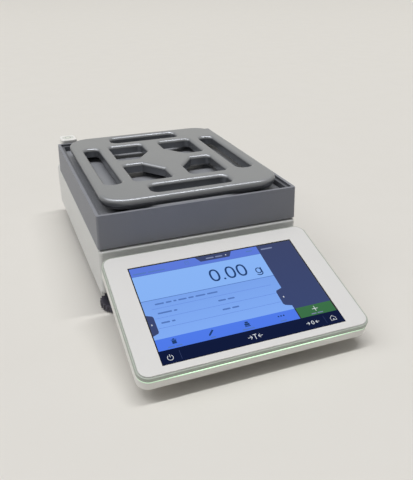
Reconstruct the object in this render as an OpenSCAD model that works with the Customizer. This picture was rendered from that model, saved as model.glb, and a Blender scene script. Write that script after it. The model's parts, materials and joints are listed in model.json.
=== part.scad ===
// Precision balance: a slotted weighing pan in a lift-off draft ring, on a housing that holds the
// weighing cell, with a tilting touch terminal in front and two levelling feet.
// Millimetres. +Z is up, +X is right, the terminal is at the front (-Y), the sockets at the back.
// The origin lies on the bench, under the middle of the whole balance.

/* [Housing] */
// Width of the housing
house_w = 196; // [182:0.5:232]
// Depth of the housing
house_d = 263.5; // [253.5:1:303.5]
// Height of the housing's underside above the bench
floor_z = 22; // [20:0.5:28]
// Height of the housing from its underside to its deck
house_h = 41.5; // [40:0.5:52]
// Height of the skirt below the housing's underside
skirt_h = 5; // [3:0.25:6]
// Thickness of the housing's walls
house_wall = 2.5; // [2:0.25:3.5]
// Thickness of the deck
deck_t = 3; // [2:0.25:4]
// Radius of the housing's upright corners
house_corner = 3.5; // [3:0.25:10]
// Radius along the edge of the deck
deck_edge = 2.5; // [1:0.25:3]
// Thickness of the base plate
base_t = 5; // [4:0.25:6]
// Depth of the deck that is left free behind the draft ring
rear_deck = 27; // [25:1:40]

/* [Draft ring and drip tray] */
// How far the ring's foot stands out past the housing's sides
ring_overhang = 0.25; // [0:0.25:3]
// How far the housing's front stands out past the ring
front_lip = 1.5; // [0.5:0.25:3]
// How far the ring's walls lean in from foot to rim
ring_draft = 0.75; // [0.25:0.25:1.5]
// Height of the ring
ring_h = 32; // [30:0.5:42]
// Thickness of the ring's walls
ring_wall = 3; // [3:0.25:4.5]
// Radius of the ring's upright corners
ring_corner = 2; // [1:0.25:3]
// Shadow gap between the deck and the ring
ring_gap = 1.5; // [0.5:0.25:3]
// Depth of the ring's inner ledge below its rim
ledge_drop = 2.5; // [2:0.25:8]
// Width of the inner ledge
ledge_w = 3; // [2:0.25:3]
// Thickness of the inner ledge
ledge_t = 5.5; // [1.5:0.25:6]
// Gap between the ring's walls and the drip tray
tray_gap = 1; // [0.5:0.25:1.5]
// Wall thickness of the drip tray
tray_t = 2.5; // [2:0.25:3]
// Height of the collars round the tray's pin holes
collar_h = 3; // [2:0.25:4]

/* [Weighing pan] */
// Gap from the pan to the ring's outside, left and right
pan_side_gap = 9; // [8:0.25:14]
// Gap from the pan to the ring's outside, at the front
pan_front_gap = 8; // [7.75:0.25:14]
// Gap from the pan to the ring's outside, at the back
pan_back_gap = 15; // [10:0.25:20]
// Height of the pan's top above the ring's rim
pan_rise = 8; // [6:0.25:12]
// Thickness of the pan
pan_t = 7.5; // [6:0.25:9]
// Radius of the pan's corners
pan_corner = 25; // [15:0.5:30]
// Rounding of the pan's lower outer edge
pan_low_edge = 2.5; // [0.5:0.25:3.5]
// Rounding of the pan's upper edges
pan_edge = 3.5; // [0.5:0.25:3.5]
// Rim left outside the side slots
slot_margin = 11.5; // [9:0.25:14]
// Width of the side slots
slot_w = 16.5; // [14:0.25:20]
// Corner radius of every slot
slot_corner = 7; // [4:0.25:8]
// Bar between the side slots and the windows
bar_w = 12.5; // [9:0.25:16]
// Rim left outside the end slots
end_margin = 11; // [9:0.25:14]
// Width of the end slots
end_slot_w = 21; // [17:0.25:24]
// Length of the end slots
end_slot_l = 80; // [60:1:84]
// Bar between the end slots and the windows
end_bar_w = 13.5; // [9:0.25:18]
// Width of the bar that runs front to back through the middle
spine_w = 20; // [14:0.5:26]
// Width of the bar that runs left to right through the middle
cross_w = 17; // [12:0.5:24]
// Bevel of a window's inner corner, across
bevel_x = 17; // [10:0.5:20]
// Bevel of a window's inner corner, front to back
bevel_y = 23.5; // [12:0.5:28]
// Corner radius of the windows
window_corner = 5; // [3:0.25:7]
// Radius of the pins that carry the pan
pin_r = 4; // [3:0.25:5]
// Depth of the pan's sockets on those pins
socket_depth = 2.5; // [1.5:0.25:3]

/* [Terminal] */
// Thickness of the terminal
term_t = 15.25; // [14.5:0.25:20]
// Tilt of the terminal at rest, in degrees
term_tilt = 16.8; // [12:0.2:20]
// Gap between the housing's front and the terminal's back edge
term_gap = 8.6; // [8.4:0.2:20]
// Height of the deck above the terminal's back edge
term_drop = 2.3; // [0:0.1:5]
// Radius of the terminal's corners
term_corner = 10; // [9:0.5:18]
// Rounding of the terminal's upper edge
term_edge = 0.75; // [0.5:0.25:1]
// Rounding of the terminal's lower edge
term_low_edge = 2.5; // [1:0.25:4]
// Wall thickness of the terminal's shells
shell_t = 2; // [1.5:0.25:2.5]
// Depth of the upper shell's lower edge below the front panel
upper_h = 4.5; // [4.4:0.1:6]
// Width of the upper shell's rim round the front panel
rim_w = 1.6; // [1.2:0.1:2]
// How far the front panel stands proud of that rim
panel_rise = 0.8; // [0.4:0.1:1]
// Height of the light guide's visible edge
guide_h = 1.2; // [1:0.1:2]
// Thickness of the front panel
panel_t = 2.2; // [1.8:0.1:2.4]
// Width of the display window
window_w = 156.6; // [130:0.2:160]
// Length of the display window
window_l = 103.4; // [90:0.2:106]
// Border between the terminal's front edge and the window
window_front = 8.8; // [8.2:0.2:11]
// Border between the window and the terminal's back edge
window_back = 17.5; // [15.5:0.2:22]
// Border beside the window, left and right
window_side = 21.2; // [19:0.2:26]
// Thickness of the display module
display_t = 3; // [2.5:0.1:3.4]
// Distance of the tilt axis from the terminal's back edge
pivot_in = 37.5; // [31:0.5:46]
// Depth of the tilt axis below the terminal's underside
pivot_drop = 6.5; // [6:0.25:9]
// Radius of the hinge pins
hinge_r = 2.5; // [2:0.25:3]
// Width between the two bracket arms
bracket_w = 104; // [80:1:120]

/* [Feet] */
// Distance of a levelling foot from the housing's side
foot_inset = 16; // [13.5:0.25:20]
// Distance of a levelling foot behind the housing's front
foot_setback = 10.5; // [10.5:0.5:20]
// Radius of a levelling wheel
wheel_r = 17; // [13:0.5:18]
// Height of a levelling wheel
wheel_h = 5.5; // [5:0.25:8]
// Radius of a levelling stud
stud_r = 4; // [3:0.25:4.5]
// Length of a levelling stud above its wheel
stud_l = 26; // [20:0.5:28]
// Height of a rear foot's rubber pad
pad_h = 3; // [2:0.25:4]
// Height of a levelling foot's rubber pad
front_pad_h = 1; // [0.75:0.25:3]
// Radius of a levelling foot's rubber pad
pad_r = 12; // [9:0.5:13]
// Radius of a rear foot
rear_foot_r = 10; // [8:0.5:12]
// Distance of the rear feet from the housing's side and back
rear_foot_inset = 17; // [14:0.5:20]

/* [Weighing cell] */
// Width of the cell
cell_w = 52; // [46:1:60]
// Thickness of the parallel guides
guide_t = 1.5; // [1:0.1:2]
// Width of a guide's two legs
guide_leg = 10; // [7:0.5:11]
// Depth of the load receptor
receptor_d = 15; // [12:0.5:18]
// Radius of the receptor's post
post_r = 7; // [6:0.25:8]
// Short arm of the lever, from its fulcrum to the coupling
lever_short = 13; // [11:0.5:15]
// Width of the lever at its fulcrum
lever_w = 14; // [12:0.5:15]
// Thickness of the lever
lever_t = 4; // [3:0.25:5]
// Outer radius of the coil
coil_r = 13; // [11:0.25:14]
// Height of the coil
coil_h = 6; // [4:0.25:6.5]
// Radius of the magnet
magnet_r = 20; // [18:0.5:22]
// Radius of the calibration weight
weight_r = 11; // [9:0.25:12]
// Length of the calibration weight
weight_l = 80; // [74:1:86]
// Travel of the calibration weight down to the receptor
weight_drop = 2; // [1.5:0.25:2.5]

/* [Level, boards and sockets] */
// Width of the level's housing
level_w = 19; // [17:0.5:24]
// Depth of the level's housing
level_d = 21; // [19:0.5:23]
// Height of the level's housing above the deck
level_h = 37; // [20:0.5:40]
// Radius of the level's vial
vial_r = 7; // [5:0.25:7.5]
// Depth of the level's vial
vial_h = 8; // [6:0.25:10]
// Width of the rear panel's opening
rear_w = 112; // [104:1:124]
// Height of the rear panel's opening
rear_h = 22; // [20:0.5:26]
// Thickness of the circuit boards
board_t = 1.6; // [1:0.1:2]

/* [Hidden] */
$fn = 64;

// Colours
cast_grey = "#8d9094";
body_white = "#dcdcd8";
shell_grey = "#a3a5a4";
slate_grey = "#6c7078";
pan_grey = "#96999c";
steel = "#b9bcc0";
brass = "#c3a052";
rubber_black = "#1c1d1f";
wheel_grey = "#3a3c40";
board_green = "#2c5a3c";
copper = "#b06a3a";
guide_green = "#d4f5d2";
screen_blue = "#86b3f5";
fluid_green = "#b7cf6a";

// Clearances: laid-in pieces and turning pins. A cut runs past a face by cut, or just past it by lap
fit = 0.3;
run_fit = 0.05;
cut = 1;
lap = 0.02;

// Levels, from the bench upwards
deck_z = floor_z + house_h;
base_top = floor_z + base_t;
deck_under = deck_z - deck_t;
ring_z = deck_z + ring_gap;
ring_top = ring_z + ring_h;
ledge_top = ring_top - ledge_drop;
tray_top = ledge_top - ledge_t;
pan_top = ring_top + pan_rise;
pan_z = pan_top - pan_t;

// Plan: the ring's front face is at y = 0 until the whole is centred
house_front = -front_lip;
house_back = house_front + house_d;
house_mid = (house_front + house_back) / 2;
base_w = house_w - 2 * (house_wall + fit);
base_d = house_d - 2 * (house_wall + fit);
base_corner = house_corner - house_wall - fit;
ring_w = house_w + 2 * (ring_overhang - ring_draft);
ring_d = house_back - rear_deck;
ring_in_w = ring_w - 2 * ring_wall;
ring_in_d = ring_d - 2 * ring_wall;
tray_w = ring_in_w - 2 * tray_gap;
tray_d = ring_in_d - 2 * tray_gap;
pan_w = ring_w - 2 * pan_side_gap;
pan_d = ring_d - pan_front_gap - pan_back_gap;
pan_mid = pan_front_gap + pan_d / 2;

// Pan cut-outs, measured from the pan's middle
slot_x = pan_w / 2 - slot_margin - slot_w / 2;
window_x_in = spine_w / 2;
window_x_out = pan_w / 2 - slot_margin - slot_w - bar_w;
window_y_in = cross_w / 2;
window_y_out = pan_d / 2 - end_margin - end_slot_w - end_bar_w;
end_slot_y = pan_d / 2 - end_margin - end_slot_w / 2;

// Pan carrier: four pins under the pan's corners, on arms from a hub
pin_inset_x = 21;
pin_inset_y = 24;
pin_x = pan_w / 2 - pin_inset_x;
pin_y = pan_d / 2 - pin_inset_y;
tip_h = 5;
tip_top = pan_z + socket_depth;
hub_r = 15;
hub_h = 8;
arm_w = 2 * pin_r;
arm_t = 6;
spigot_r = 5;
spigot_h = 6;
boss_wall = 1;
hub_rise = 9;
hub_z = deck_z + hub_rise;
pin_room = 3;
pin_hole_r = pin_r + pin_room;
collar_t = 2;
sleeve_t = 1;

// Rear panel, and the upright board in front of it that carries the sockets
rear_z = (base_top + deck_under) / 2 - rear_h / 2;
rear_flange = 4;
rear_panel_t = 2;
panel_back = house_back - house_wall - fit;
panel_front = panel_back - rear_panel_t;
socket_body = 14;
interface_y = panel_front - socket_body;

// Weighing cell, from the receptor under the pan back to the upright board
cell_room = 3.5;
cell_top = deck_under - cell_room;
slab_t = 4;
slab_top = base_top + slab_t;
guide_room = 0.8;
receptor_front = pan_mid - receptor_d / 2;
receptor_back = pan_mid + receptor_d / 2;
receptor_room = 3;
receptor_z = base_top + receptor_room;
cell_back_room = 2.5;
sensor_d = 7;
tower_d = 12;
tower_room = 1;
slab_back = interface_y - board_t - cell_back_room;
coil_y = slab_back - sensor_d - fit - magnet_r;
tower_front = coil_y - magnet_r - fit - tower_d;
guide_l = tower_front - receptor_back - 2 * fit;
coupling_gap = 2.5;
fulcrum_y = receptor_back + coupling_gap + lever_short;
lever_long = coil_y - fulcrum_y;
lever_z = (slab_top + cell_top) / 2;
lever_under = lever_z - lever_t / 2;
lever_tail_w = 10;
lever_over = 1;
vane_w = 3;
cheek_t = 4;
cheek_d = 10;
fulcrum_r = 1.5;
fulcrum_hub_r = 4;
coil_t = 3;
coil_gap = 0.9;
magnet_room = 2.5;
magnet_top = lever_under - magnet_room;
magnet_floor = 2;
slab_room = 4;
slab_front = receptor_back + slab_room;
strip_w = 8;
strip_t = 0.6;
nose_w = 12;
nose_h = 3;
nose_drop = 6;
nose_over = 1;
nose_z = cell_top - nose_drop;
sensor_w = 16;
sensor_slot = 6;
sensor_floor = 1;
hook_hole_r = 11;
hook_r = 5;
hook_wire = 1.5;
hook_z = floor_z + fit + hook_r;
hook_stem = 5;
hook_room = 1;
hook_recess = hook_z + hook_r + fit;
post_room = 4;
post_hole_r = post_r + post_room;
seal_wall = 6;
seal_h = 4;
seal_gap = 1;

// Calibration weight and its lifter
weight_reach = 36;
weight_y = receptor_front - weight_reach;
fork_t = 5;
fork_in = 20;
cradle_t = 5;
cradle_in = 33;
seat_t = 1.8;
fork_room = 2;
fork_z = base_top + fork_room;
weight_rest_z = fork_z + seat_t + fit + weight_r;
weight_z = weight_rest_z + weight_drop;
lifter_reach = 16;
lifter_y = weight_y - weight_r - lifter_reach;
bar_d = 5;
bar_h = 6;
bar_reach = 9;
bar_y = weight_y - weight_r - bar_reach;
bar_low = 2;
bar_z = weight_z - bar_low;
nut_r = 6;
screw_r = 3;
motor_r = 10;
motor_h = 10;

// Feet
foot_x = house_w / 2 - foot_inset;
foot_y = house_front + foot_setback;
foot_boss_r = 7;
boss_room = 1.2;
foot_boss_low = floor_z - (front_pad_h + fit + wheel_h + boss_room);
foot_boss_up = 4;
bush_r = 5.5;
wheel_z = front_pad_h + fit;
flute_r = 1.6;
flute_count = 24;
pad_pin_r = 2.5;
wheel_web = 1;
pad_pin_h = wheel_h / 2 - wheel_web;
rear_foot_x = house_w / 2 - rear_foot_inset;
rear_foot_y = house_back - rear_foot_inset;
leg_taper = 2;
peg_r = 4;
peg_h = 5;

// Screws: shank and head radii, and the cover's screw posts
shank_r = 1.6;
head_r = 3;
head_h = 2;
screw_l = 12;
post_inset_x = 16;
post_inset_front = 40;
post_inset_back = 42;
post_wall = 3;
post_rows = [house_front + post_inset_front, house_back - post_inset_back];
post_points = [for (s = [-1, 1], y = post_rows) [s * (house_w / 2 - post_inset_x), y]];

// Cover of the weigh-below opening, which swings round a screw beside it
swing_x = 22;
swing_r = 7;
hook_cover_r = 14;
hook_cover_t = 2;

// Terminal, in its own tilted frame: y = 0 at its back edge, z = 0 on its front panel
term_w = window_w + 2 * window_side;
term_l = window_l + window_front + window_back;
term_y = house_front - term_gap;
term_z = deck_z - term_drop;
shelf_w = 4;
panel_edge = 0.5;
shelf_t = 1.4;
lower_h = term_t - upper_h - guide_h;
guide_w = 5;
guide_inset = 0.2;
window_y = -term_l + window_front + window_l / 2;
display_border = 3;
display_z = -panel_t - fit - display_t;
light_board_h = 4;
pivot_y = -pivot_in;
pivot_z = -(term_t + pivot_drop);
lug_w = 10;
lug_r = 5.5;
lug_root = 9;
term_post_r = 3.5;
term_post_in = 14;
pivot_at = [term_y + pivot_y * cos(term_tilt) - pivot_z * sin(term_tilt),
            term_z + pivot_y * sin(term_tilt) + pivot_z * cos(term_tilt)];

// Bracket that carries the terminal
bracket_t = 3;
bracket_back = 70;
bracket_front = 12;
arm_low = 6;
arm_clear = 1;
arm_eye_r = 5;
washer_t = 0.8;
washer_r = 5;
bracket_hole_x = 34;
bracket_hole_in = 10;

// Level, boards and sockets
level_inset = 5.5;
level_x = -(house_w / 2 - level_w / 2 - level_inset);
level_forward = 0.5;
level_y = (ring_d + house_back) / 2 - level_forward;
level_corner = 4;
level_edge = 1.5;
vial_wall = 1.2;
socket_proud = 0.6;
socket_back = panel_back + socket_proud;
socket_mid_z = rear_z + rear_h / 2;
power_x = -42;
network_x = -18;
usb_x = 8;
usb_pitch = 20;
usb_device_x = 46;
power_r = 7;
power_bore_r = 4.75;
network_size = [16, 13.5];
network_bore = [11.8, 8];
usb_size = [14.6, 7.2];
usb_bore = [12.6, 5.2];
usb_device_size = [12.2, 11];
usb_device_bore = [8.6, 7.8];
socket_depth_y = 11;
tongue_t = 1.8;
tongue_rise = 1;
tongue_short = 3;
standoff_h = 6;
standoff_r = 3;
main_board_w = 32;
main_board_d = 140;
main_board_inset = 35.5;
main_board_x = -(house_w / 2 - main_board_inset);
main_board_back = 20;
main_board_y = pan_mid + main_board_back;
chip_w = 12;
chip_h = 1.5;
chip_pitch = 35;

// The whole is centred on the bench: its foremost point is on the rounded rim of the terminal
front_y = term_y - (term_l - term_edge) * cos(term_tilt)
          + (panel_rise + term_edge) * sin(term_tilt) - term_edge;
origin_y = -(front_y + house_back) / 2;

// Direction of the line from one point to the next, in degrees
function heading(a, b) = atan2(b[1] - a[1], b[0] - a[0]);
// Length of that line
function reach(a, b) = norm([b[0] - a[0], b[1] - a[1]]);
// Direction square to that line, on its right, as a step of length 1
function aside(a, b) = let (turn = heading(a, b) - 90) [cos(turn), sin(turn)];
// Corner axes of a rounded rectangle, anticlockwise
function rect_axes(w, d, r) =
    let (x = w / 2 - r, y = d / 2 - r) [[-x, -y], [x, -y], [x, y], [-x, y]];

// Rounded rectangle
module round_rect(w, d, r) {
    square([w - 2 * r, d], center = true);
    square([w, d - 2 * r], center = true);
    for (sx = [-1, 1], sy = [-1, 1])
        translate([sx * (w / 2 - r), sy * (d / 2 - r)]) circle(r);
}

// Quarter of a disc in the first quadrant
module quarter(r) {
    intersection() {
        circle(r);
        square(r);
    }
}

// Section of a body's edge, r out from the corner axis and h high, with rounded outer edges
module edge_section(r, h, upper = 0, lower = 0) {
    translate([0, lower]) square([r, h - upper - lower]);
    if (upper > 0) {
        translate([0, h - upper]) square([r - upper, upper]);
        translate([r - upper, h - upper]) quarter(upper);
    }
    if (lower > 0) {
        square([r - lower, lower]);
        translate([r - lower, lower]) mirror([0, 1]) quarter(lower);
    }
}

// Section of a cut that rounds the edge which it leaves at its upper end
module cut_section(r, h, edge) {
    square([r, h + cut]);
    translate([r, h - edge]) difference() {
        square([edge, edge + cut]);
        translate([edge, 0]) circle(edge);
    }
}

// Carries an edge section round a convex outline of corner axes, and fills the middle to height h.
// The middle laps the edges, so that no seam opens between them
module carried_round(axes, h) {
    n = len(axes);
    linear_extrude(h) polygon([for (i = [0 : n - 1])
        axes[i] + lap * (aside(axes[(i + n - 1) % n], axes[i]) + aside(axes[i], axes[(i + 1) % n]))]);
    for (i = [0 : n - 1]) {
        here = axes[i];
        next = axes[(i + 1) % n];
        last = axes[(i + n - 1) % n];
        outward = heading(here, next) - 90;
        inward = heading(last, here) - 90;
        turn = (outward - inward + 720) % 360;
        translate(here) rotate(inward) rotate_extrude(angle = turn) children();
        translate(here) rotate(outward) mirror([0, 1, 0]) rotate([90, 0, 0])
            linear_extrude(reach(here, next)) children();
    }
}

// Straight screw with its head down
module screw(length) {
    cylinder(r = head_r, h = head_h);
    cylinder(r = shank_r, h = head_h + length);
}

// Cylinder along X, centred
module bar_x(r, l) {
    rotate([0, 90, 0]) cylinder(r = r, h = l, center = true);
}

// Places a piece of the terminal
module on_terminal() {
    translate([0, term_y, term_z]) rotate([term_tilt, 0, 0]) children();
}

// Lays a piece in the middle of the terminal's outline
module mid_terminal() {
    on_terminal() translate([0, -term_l / 2, 0]) children();
}

// Base and housing

// Cast plate that everything stands on
module base_plate() {
    color(cast_grey) difference() {
        union() {
            translate([0, house_mid, floor_z]) linear_extrude(base_t)
                round_rect(base_w, base_d, base_corner);
            for (s = [-1, 1]) {
                translate([s * foot_x, foot_y, floor_z - foot_boss_low])
                    cylinder(r = foot_boss_r, h = foot_boss_low + base_t + foot_boss_up);
                translate([s * rear_foot_x, rear_foot_y, pad_h])
                    cylinder(r1 = rear_foot_r, r2 = rear_foot_r + leg_taper, h = floor_z - pad_h);
            }
        }
        for (s = [-1, 1]) {
            translate([s * foot_x, foot_y, 0]) cylinder(r = bush_r + run_fit, h = deck_z);
            translate([s * rear_foot_x, rear_foot_y, 0]) cylinder(r = peg_r + run_fit, h = pad_h + peg_h);
        }
        translate([0, pan_mid, 0]) cylinder(r = hook_hole_r, h = deck_z);
        translate([swing_x, pan_mid, 0]) cylinder(r = shank_r + run_fit, h = deck_z);
        for (p = post_points) translate(p) {
            cylinder(r = shank_r + fit, h = deck_z);
            cylinder(r = head_r + fit, h = floor_z + head_h);
        }
        for (sx = [-1, 1], y = bracket_holes())
            translate([sx * bracket_hole_x, y, 0]) cylinder(r = shank_r + run_fit, h = deck_z);
    }
}

// Places of the bracket's screws, front to back
function bracket_holes() = [bracket_front + bracket_hole_in, bracket_back - bracket_hole_in];

// White shell over the cell, with its deck, screw posts, and a skirt at the sides and the back
module housing_cover() {
    color(body_white) difference() {
        union() {
            difference() {
                translate([0, house_mid, floor_z - skirt_h])
                    carried_round(rect_axes(house_w, house_d, house_corner), house_h + skirt_h)
                        edge_section(house_corner, house_h + skirt_h, deck_edge);
                translate([0, house_mid, floor_z - skirt_h - cut])
                    linear_extrude(house_h + skirt_h - deck_t + cut)
                        round_rect(house_w - 2 * house_wall, house_d - 2 * house_wall,
                                   house_corner - house_wall);
            }
            for (p = post_points) translate([p[0], p[1], base_top])
                cylinder(r = shank_r + post_wall, h = deck_under - base_top + cut);
        }
        translate([0, pan_mid, base_top]) cylinder(r = post_hole_r, h = house_h);
        for (p = post_points) translate([p[0], p[1], base_top - cut])
            cylinder(r = shank_r + run_fit, h = screw_l + cut);
        translate([-rear_w / 2, house_back - house_wall - cut, rear_z])
            cube([rear_w, house_wall + 2 * cut, rear_h]);
        translate([-house_w / 2 - cut, house_front - cut, floor_z - skirt_h - cut])
            cube([house_w + 2 * cut, house_corner + cut, skirt_h + cut]);
    }
}

// Four screws that hold the cover on the base plate
module cover_screws() {
    color(steel) for (p = post_points) translate([p[0], p[1], floor_z])
        screw(base_t - head_h + screw_l - fit);
}

// Rubber feet under the rear legs
module rear_feet() {
    color(rubber_black) for (s = [-1, 1]) translate([s * rear_foot_x, rear_foot_y, 0]) {
        cylinder(r = rear_foot_r, h = pad_h);
        cylinder(r = peg_r, h = pad_h + peg_h - fit);
    }
}

// Brass bushes in which the levelling studs turn
module foot_bushes() {
    color(brass) for (s = [-1, 1]) translate([s * foot_x, foot_y, floor_z - foot_boss_low])
        difference() {
            cylinder(r = bush_r, h = foot_boss_low + base_t + foot_boss_up);
            translate([0, 0, -cut]) cylinder(r = stud_r + run_fit, h = house_h);
        }
}

// Levelling feet

// Rubber pad with the pin on which the wheel turns
module foot_pad(s) {
    color(rubber_black) translate([s * foot_x, foot_y, 0]) {
        cylinder(r = pad_r, h = front_pad_h);
        cylinder(r = pad_pin_r, h = wheel_z + pad_pin_h);
    }
}

// Fluted wheel that a finger turns
module levelling_wheel(s) {
    color(wheel_grey) translate([s * foot_x, foot_y, wheel_z]) difference() {
        cylinder(r = wheel_r, h = wheel_h);
        for (i = [1 : flute_count]) rotate(i * 360 / flute_count)
            translate([wheel_r, 0, -cut]) cylinder(r = flute_r, h = wheel_h + 2 * cut);
        translate([0, 0, -cut]) cylinder(r = pad_pin_r + run_fit, h = pad_pin_h + fit + cut);
        translate([0, 0, wheel_h / 2 + fit]) cylinder(r = stud_r + run_fit, h = wheel_h);
    }
}

// Threaded stud, set in the upper half of its wheel
module levelling_stud(s) {
    color(steel) translate([s * foot_x, foot_y, wheel_z + wheel_h / 2 + fit])
        cylinder(r = stud_r, h = wheel_h / 2 - fit + stud_l);
}

module left_foot_pad() foot_pad(-1);
module right_foot_pad() foot_pad(1);
module left_levelling_wheel() levelling_wheel(-1);
module right_levelling_wheel() levelling_wheel(1);
module left_levelling_stud() levelling_stud(-1);
module right_levelling_stud() levelling_stud(1);

// Weigh-below opening

// Plate that swings aside to free the weigh-below hook
module hook_cover() {
    color(steel) translate([0, pan_mid, floor_z - hook_cover_t - run_fit]) difference() {
        union() {
            cylinder(r = hook_cover_r, h = hook_cover_t);
            translate([swing_x, 0, 0]) cylinder(r = swing_r, h = hook_cover_t);
            translate([0, -swing_r, 0]) cube([swing_x, 2 * swing_r, hook_cover_t]);
        }
        translate([swing_x, 0, -cut]) cylinder(r = shank_r + run_fit, h = hook_cover_t + 2 * cut);
    }
}

// Shoulder screw on which that plate swings
module hook_cover_screw() {
    color(steel) translate([swing_x, pan_mid, floor_z - hook_cover_t - 2 * run_fit - head_h])
        screw(hook_cover_t + base_t);
}

// Bracket and hinge of the terminal

// Outline of a bracket arm, from under the base plate forward to the hinge eye
module arm_outline() {
    difference() {
        union() {
            polygon([
                [bracket_back, floor_z], [house_front - arm_clear, floor_z],
                [pivot_at[0], pivot_at[1] + arm_eye_r],
                [pivot_at[0], pivot_at[1] - arm_eye_r],
                [house_front, floor_z - arm_low], [bracket_back, floor_z - arm_low]
            ]);
            translate(pivot_at) circle(arm_eye_r);
        }
        translate(pivot_at) circle(hinge_r + run_fit);
    }
}

// Steel bracket: a plate under the base with two arms
module terminal_bracket() {
    color(steel) difference() {
        union() {
            translate([-bracket_w / 2, bracket_front, floor_z - bracket_t])
                cube([bracket_w, bracket_back - bracket_front, bracket_t]);
            for (s = [-1, 1]) translate([s * (bracket_w + bracket_t) / 2 - bracket_t / 2, 0, 0])
                rotate([90, 0, 90]) linear_extrude(bracket_t) arm_outline();
        }
        for (sx = [-1, 1], y = bracket_holes())
            translate([sx * bracket_hole_x, y, 0]) cylinder(r = shank_r + run_fit, h = deck_z);
    }
}

// Screws that hold the bracket under the base
module bracket_screws() {
    color(steel) for (sx = [-1, 1], y = bracket_holes())
        translate([sx * bracket_hole_x, y, floor_z - bracket_t - head_h]) screw(bracket_t + base_t);
}

// Two pins of the terminal's hinge
module hinge_pins() {
    color(steel) for (s = [-1, 1])
        translate([s * (bracket_w / 2 + bracket_t - hinge_length() / 2), pivot_at[0], pivot_at[1]])
            bar_x(hinge_r, hinge_length());
}

// Length of a hinge pin, through its arm, washer and lug
function hinge_length() = bracket_t + washer_t + 2 * fit + lug_w;

// Spring washers that give the hinge its friction
module hinge_washers() {
    color(steel) for (s = [-1, 1])
        translate([s * (bracket_w / 2 - washer_t / 2), pivot_at[0], pivot_at[1]]) difference() {
            bar_x(washer_r, washer_t);
            bar_x(hinge_r + run_fit, washer_t + 2 * cut);
        }
}

// Weighing cell

// Cast frame with the tower for the guides and the cheeks of the fulcrum
module cell_frame() {
    color(cast_grey) difference() {
        union() {
            translate([-cell_w / 2, slab_front, base_top])
                cube([cell_w, slab_back - slab_front, slab_t]);
            translate([-cell_w / 2, tower_front, base_top])
                cube([cell_w, tower_d, cell_top - base_top]);
            for (s = [-1, 1])
                translate([s * (lever_w / 2 + fit + cheek_t / 2) - cheek_t / 2,
                           fulcrum_y - cheek_d / 2, base_top])
                    cube([cheek_t, cheek_d, lever_z + fulcrum_hub_r - base_top]);
        }
        translate([-lever_w / 2 - tower_room, tower_front - cut, slab_top])
            cube([lever_w + 2 * tower_room, tower_d + 2 * cut, cell_top - slab_top - 2 * lever_t]);
        translate([0, fulcrum_y, lever_z]) bar_x(fulcrum_r + run_fit, cell_w);
    }
}

// Pin on which the lever rocks
module fulcrum_pin() {
    color(steel) translate([0, fulcrum_y, lever_z])
        bar_x(fulcrum_r, lever_w + 2 * fit + 2 * cheek_t);
}

// Pot magnet with a core, open at the top for the coil
module magnet() {
    color(steel) translate([0, coil_y, slab_top]) difference() {
        cylinder(r = magnet_r, h = magnet_top - slab_top);
        translate([0, 0, magnet_floor]) difference() {
            cylinder(r = coil_r + coil_gap, h = house_h);
            translate([0, 0, -cut]) cylinder(r = coil_r - coil_t - coil_gap, h = house_h + 2 * cut);
        }
    }
}

// Forked light barrier at the lever's tail
module position_sensor() {
    color(rubber_black)
        translate([-sensor_w / 2, slab_back - sensor_d, slab_top]) difference() {
            cube([sensor_w, sensor_d, cell_top - slab_top]);
            translate([(sensor_w - sensor_slot) / 2, -cut, sensor_floor])
                cube([sensor_slot, sensor_d + 2 * cut, cell_top - slab_top]);
        }
}

// Lever between the load and the coil, tapering to a vane
module lever() {
    color(steel) difference() {
        union() {
            translate([0, fulcrum_y, lever_under]) linear_extrude(lever_t) polygon([
                [-lever_w / 2, -lever_short - lever_over], [lever_w / 2, -lever_short - lever_over],
                [lever_w / 2, fulcrum_hub_r], [lever_tail_w / 2, lever_long + coil_t],
                [-lever_tail_w / 2, lever_long + coil_t], [-lever_w / 2, fulcrum_hub_r]
            ]);
            translate([-vane_w / 2, coil_y, lever_under]) cube([vane_w, slab_back - fit - coil_y, lever_t]);
            translate([0, fulcrum_y, lever_z]) bar_x(fulcrum_hub_r, lever_w);
        }
        translate([0, fulcrum_y, lever_z]) bar_x(fulcrum_r + run_fit, cell_w);
    }
}

// Coil that hangs from the lever into the magnet
module coil() {
    color(copper) translate([0, coil_y, lever_under - coil_h]) difference() {
        cylinder(r = coil_r, h = coil_h);
        translate([0, 0, -cut]) cylinder(r = coil_r - coil_t, h = coil_h + 2 * cut);
    }
}

// Parallel guide: a frame with two legs
module parallel_guide(z) {
    color(steel) translate([-cell_w / 2, receptor_back + fit, z]) difference() {
        cube([cell_w, guide_l, guide_t]);
        translate([guide_leg, guide_leg, -cut])
            cube([cell_w - 2 * guide_leg, guide_l - 2 * guide_leg, guide_t + 2 * cut]);
    }
}

module upper_guide() parallel_guide(cell_top - guide_room - guide_t);
module lower_guide() parallel_guide(slab_top + guide_room);

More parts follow.
